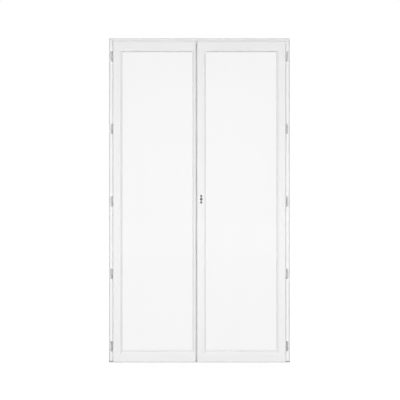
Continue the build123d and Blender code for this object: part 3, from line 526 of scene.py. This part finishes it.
def grow_row(name, body, tree, ends, count, values):
    """Run a row's tree from one end to the other and keep it as a plain mesh that rides on a body."""
    start, end = (Vector(point) for point in ends)
    values = {**values, "Count": count, "Start": start[:], "Step": ((end - start) / (count - 1))[:]}
    row = bpy.data.objects.new(name, bpy.data.meshes.new(name))
    bpy.context.scene.collection.objects.link(row)
    modifier = row.modifiers.new("Row", "NODES")
    modifier.node_group = tree
    for item in tree.interface.items_tree:
        if item.in_out == "INPUT":
            modifier[item.identifier] = values[item.name]
    depsgraph = bpy.context.evaluated_depsgraph_get()
    mesh = bpy.data.meshes.new_from_object(row.evaluated_get(depsgraph), depsgraph=depsgraph)
    if not mesh.polygons:
        raise RuntimeError(f"{name} came out empty")
    row.modifiers.remove(modifier)
    row.data = mesh
    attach(row, body)


class FRENCHDOORS_OT_plate_screws(bpy.types.Operator):
    """Screw down the lock plate, the bolt plates and the keeps"""

    bl_idname = "french_doors.plate_screws"
    bl_label = "Add the plate screws"

    def execute(self, context):
        fittings = context.scene.french_doors_fittings
        finish = context.scene.french_doors_finish
        tree = screw_tree()
        zinc = worked_metal(
            "Zinc-plated screws", finish.plate, roughness=0.28, line_mm=0.3, line_axis=ACROSS
        )
        size = {
            "Radius": fittings.screw_radius,
            "Top radius": HEAD_TOP_SHARE * fittings.screw_radius,
            "Thickness": fittings.screw_proud,
            "Material": zinc,
        }
        for seed, (name, body, facing, ends, count) in enumerate(self.rows(fittings)):
            values = {**size, "Facing": FACING[facing], "Seed": seed}
            grow_row(name, body, tree, ends, count, values)
        return {"FINISHED"}

    def rows(self, fittings):
        """Each row of screws: its name, body, facing, two end places and count."""
        edge = fittings.plate_edge
        low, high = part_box("lock_faceplate")
        depth = (low.y + high.y) / 2
        ends = ((low.x, depth, low.z + edge), (low.x, depth, high.z - edge))
        rows = [("lock_plate_screws", "right_leaf", "-X", ends, fittings.lock_screw_count)]
        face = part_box("left_bolt_plates")[1].x
        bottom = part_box("left_bottom_bolt")[1].z + edge
        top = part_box("left_top_bolt")[0].z - edge
        ends = ((face, depth, bottom), (face, depth, top))
        rows.append(("bolt_plate_screws", "left_leaf", "+X", ends, 2))
        edge = fittings.keep_edge
        for keep, facing in (("head_keep", "-Z"), ("threshold_keep", "+Z")):
            low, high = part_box(keep)
            height = low.z if facing == "-Z" else high.z
            ends = ((low.x + edge, depth, height), (high.x - edge, depth, height))
            rows.append((keep + "_screws", "frame", facing, ends, fittings.keep_screw_count))
        return rows


class FRENCHDOORS_OT_hinge_washers(bpy.types.Operator):
    """Put a nylon washer between the two knuckles of each hinge"""

    bl_idname = "french_doors.hinge_washers"
    bl_label = "Add the hinge washers"

    def execute(self, context):
        fittings = context.scene.french_doors_fittings
        finish = context.scene.french_doors_finish
        tree = washer_tree()
        values = {
            "Radius": fittings.washer_radius,
            "Bore": fittings.washer_bore,
            "Thickness": fittings.washer_thickness,
            "Facing": FACING["+Z"],
            "Material": matte_coat("White nylon", finish.nylon, roughness=0.45, skin_mm=1.0, ior=1.53),
        }
        reach = fittings.knuckle_length + fittings.washer_thickness / 2
        for side in ("left", "right"):
            joint = next(row for row in frame["joints"] if row["name"] == side + "_leaf_swing")
            x, y, _ = joint["pos_m"]
            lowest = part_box(side + "_frame_hinges")[0].z + reach
            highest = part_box(side + "_leaf_hinges")[1].z - reach
            ends = ((x, y, lowest), (x, y, highest))
            name = side + "_hinge_washers"
            grow_row(name, "frame", tree, ends, fittings.hinge_count, values)
        return {"FINISHED"}


# Studio


# Softboxes, in metres: each stands once to the left and once to the right of the doors
KEY_PLACE = (1.5, -6.0, 1.3)
KEY_TARGET = (0.0, 0.0, -1.8)
KEY_SIZE = (1.4, 1.2)
BACK_PLACE = (3.8, 5.0, 2.4)
BACK_SIZE = (2.0, 2.0)
# Angles from the middle of the front wall, between which the walls' brightness changes
FRONT_FADE = (0.0, math.radians(11))
SIDE_RISE = (math.radians(20), math.radians(40))
OUTDOOR_RISE = (math.radians(84), math.radians(143))
# The floor's brightness, from near the doors to far away, to the camera and in a mirror. In a mirror the floor
# carries a painted shade, darker near the doors and bright far away
FLOOR_REACH = 30.0
FLOOR_GLOW = {"From Min": 1.5, "From Max": 8.0, "To Min": 1.065, "To Max": 1.13}
FLOOR_GLOW_SHARE = 0.88
FLOOR_MIRRORED_PAINTED_SHADE = {"From Min": 0.0, "From Max": 12.0, "To Min": 0.42, "To Max": 0.98}


def aim(thing, target):
    """Turn a lamp or camera to look at a point."""
    thing.rotation_euler = (Vector(target) - thing.location).to_track_quat("-Z", "Y").to_euler()


def add_softbox(name, place, target, size, power):
    """A rectangular soft lamp that isn't seen itself."""
    light = bpy.data.lights.new(name, "AREA")
    light.shape = "RECTANGLE"
    light.size, light.size_y = size
    light.energy = power
    lamp = bpy.data.objects.new(name, light)
    bpy.context.scene.collection.objects.link(lamp)
    lamp.location = place
    aim(lamp, target)
    lamp.visible_camera = False
    lamp.visible_glossy = False
    lamp.visible_transmission = False


def add_softbox_pair(name, place, target, size, power):
    """The same softbox to the left and to the right of the doors."""
    x, y, z = place
    add_softbox("left_" + name, (-x, y, z), target, size, power)
    add_softbox("right_" + name, (x, y, z), target, size, power)


def for_rays(tree, light, mirrored, through, seen):
    """One shader each for light that falls on the doors, mirrors, sight through glass, and the camera."""
    path = add_node(tree, "ShaderNodeLightPath").outputs
    shaders = {"Is Glossy Ray": mirrored, "Is Transmission Ray": through, "Is Camera Ray": seen}
    shown = light
    for ray, shader in shaders.items():
        shown = add_node(tree, "ShaderNodeMixShader", {0: path[ray], 1: shown, 2: shader})
    return shown


def set_white_walls(studio):
    """Walls that are white to the camera and through glass. As light they are dim in the room and bright
    outdoors. A mirror shows a bright front wall behind the camera, a dim ring round it and bright sides."""
    world = bpy.data.worlds.new("White studio")
    bpy.context.scene.world = world
    world.use_nodes = True
    tree = world.node_tree
    tree.nodes.clear()
    direction = add_node(tree, "ShaderNodeTexCoord").outputs["Generated"]
    both = {0: direction, 1: (0.0, -1.0, 0.0)}
    towards = add_node(tree, "ShaderNodeVectorMath", both, operation="DOT_PRODUCT").outputs["Value"]
    changes = {
        "front": (FRONT_FADE, studio.front_wall, studio.wall_ring),
        "sides": (SIDE_RISE, studio.wall_ring, studio.side_walls),
        "light": (OUTDOOR_RISE, studio.ambient, studio.outdoors),
    }
    levels = {}
    for name, ((near, far), near_level, far_level) in changes.items():
        angles = {"From Min": math.cos(far), "From Max": math.cos(near)}
        inputs = {"Value": towards, **angles, "To Min": far_level, "To Max": near_level}
        levels[name] = add_node(tree, "ShaderNodeMapRange", inputs)
    brighter = {0: levels["front"], 1: levels["sides"]}
    mirror_level = add_node(tree, "ShaderNodeMath", brighter, operation="MAXIMUM")
    walls = add_node(tree, "ShaderNodeBackground", {"Color": WHITE, "Strength": levels["light"]})
    mirrored = add_node(tree, "ShaderNodeBackground", {"Color": WHITE, "Strength": mirror_level})
    white = add_node(tree, "ShaderNodeBackground", {"Color": WHITE, "Strength": 1.0})
    add_node(tree, "ShaderNodeOutputWorld", {"Surface": for_rays(tree, walls, mirrored, white, white)})


def add_floor(studio):
    """A wide pale floor under the threshold, white to the camera but for a faint shadow. It throws little light
    back at the doors, and a mirror shows it with a painted shade, darker near the doors and brighter far away."""
    low, high = -FLOOR_REACH, FLOOR_REACH
    mesh = bpy.data.meshes.new("studio_floor")
    corners = [(low, low, 0.0), (high, low, 0.0), (high, high, 0.0), (low, high, 0.0)]
    mesh.from_pydata(corners, [], [(0, 1, 2, 3)])
    floor = bpy.data.objects.new("studio_floor", mesh)
    bpy.context.scene.collection.objects.link(floor)
    material, tree = new_material("Pale studio floor")
    place = add_node(tree, "ShaderNodeTexCoord").outputs["Object"]
    away = add_node(tree, "ShaderNodeVectorMath", {0: place}, operation="LENGTH").outputs["Value"]
    glow_level = add_node(tree, "ShaderNodeMapRange", {"Value": away, **FLOOR_GLOW})
    glow = add_node(tree, "ShaderNodeEmission", {"Color": WHITE, "Strength": glow_level})
    matte = add_node(tree, "ShaderNodeBsdfDiffuse", {"Color": studio.floor})
    pale = add_node(tree, "ShaderNodeMixShader", {0: FLOOR_GLOW_SHARE, 1: matte, 2: glow})
    # Painted shade: in a mirror the floor is darker near the doors and bright far away
    mirror_level = add_node(tree, "ShaderNodeMapRange", {"Value": away, **FLOOR_MIRRORED_PAINTED_SHADE})
    mirrored = add_node(tree, "ShaderNodeEmission", {"Color": WHITE, "Strength": mirror_level})
    bounce = add_node(tree, "ShaderNodeBsdfDiffuse", {"Color": studio.bounce})
    white = add_node(tree, "ShaderNodeEmission", {"Color": WHITE, "Strength": 1.0})
    add_node(tree, "ShaderNodeOutputMaterial", {"Surface": for_rays(tree, bounce, mirrored, white, pale)})
    coat(floor, material)


def add_camera(studio, middle, face):
    """A camera square on to the frame's face, close to the middle of the doors."""
    camera = bpy.data.cameras.new("photo_camera")
    camera.lens = camera.sensor_width * studio.camera_distance / studio.picture_width
    stand = bpy.data.objects.new("photo_camera", camera)
    bpy.context.scene.collection.objects.link(stand)
    opposite = Vector((middle.x + studio.camera_side, face, middle.z + studio.camera_rise))
    stand.location = opposite - Vector((0.0, studio.camera_distance, 0.0))
    aim(stand, opposite)
    bpy.context.scene.camera = stand


class FRENCHDOORS_OT_studio(bpy.types.Operator):
    """Set up the floor, the white walls, the softboxes and the camera"""

    bl_idname = "french_doors.studio"
    bl_label = "Set up the studio"

    def execute(self, context):
        studio = context.scene.french_doors_studio
        context.scene.view_settings.view_transform = "Standard"
        set_white_walls(studio)
        add_floor(studio)
        low, high = cad_box
        middle = Vector((0.0, 0.0, (low.z + high.z) / 2))
        add_softbox_pair("key", KEY_PLACE, KEY_TARGET, KEY_SIZE, studio.key_power)
        add_softbox_pair("back", BACK_PLACE, middle, BACK_SIZE, studio.back_power)
        add_camera(studio, middle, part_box("left_jamb")[0].y)
        return {"FINISHED"}


SETTINGS = {
    "french_doors_finish": FinishSettings,
    "french_doors_fittings": FittingSettings,
    "french_doors_studio": StudioSettings,
}
OPERATORS = (
    FRENCHDOORS_OT_timber,
    FRENCHDOORS_OT_glazing,
    FRENCHDOORS_OT_seals,
    FRENCHDOORS_OT_metalwork,
    FRENCHDOORS_OT_plate_screws,
    FRENCHDOORS_OT_hinge_washers,
    FRENCHDOORS_OT_studio,
)


class FRENCHDOORS_PT_sidebar(bpy.types.Panel):
    """The doors' settings and steps"""

    bl_idname = "FRENCHDOORS_PT_sidebar"
    bl_label = "French Doors"
    bl_space_type = "VIEW_3D"
    bl_region_type = "UI"
    bl_category = "French Doors"

    def draw(self, context):
        for name, settings in SETTINGS.items():
            box = self.layout.box()
            for setting in settings.__annotations__:
                box.prop(getattr(context.scene, name), setting)
        for operator in OPERATORS:
            self.layout.operator(operator.bl_idname)


def register():
    """Make the settings, the steps and the panel known."""
    for name, settings in SETTINGS.items():
        bpy.utils.register_class(settings)
        setattr(bpy.types.Scene, name, bpy.props.PointerProperty(type=settings))
    for step in (*OPERATORS, FRENCHDOORS_PT_sidebar):
        bpy.utils.register_class(step)


def unregister():
    """Take away what register made known."""
    for step in (FRENCHDOORS_PT_sidebar, *reversed(OPERATORS)):
        bpy.utils.unregister_class(step)
    for name, settings in SETTINGS.items():
        delattr(bpy.types.Scene, name)
        bpy.utils.unregister_class(settings)


def main():
    """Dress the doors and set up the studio."""
    register()
    bpy.ops.french_doors.timber()
    bpy.ops.french_doors.glazing()
    bpy.ops.french_doors.seals()
    bpy.ops.french_doors.metalwork()
    bpy.ops.french_doors.plate_screws()
    bpy.ops.french_doors.hinge_washers()
    bpy.ops.french_doors.studio()


if __name__ == "__main__":
    main()
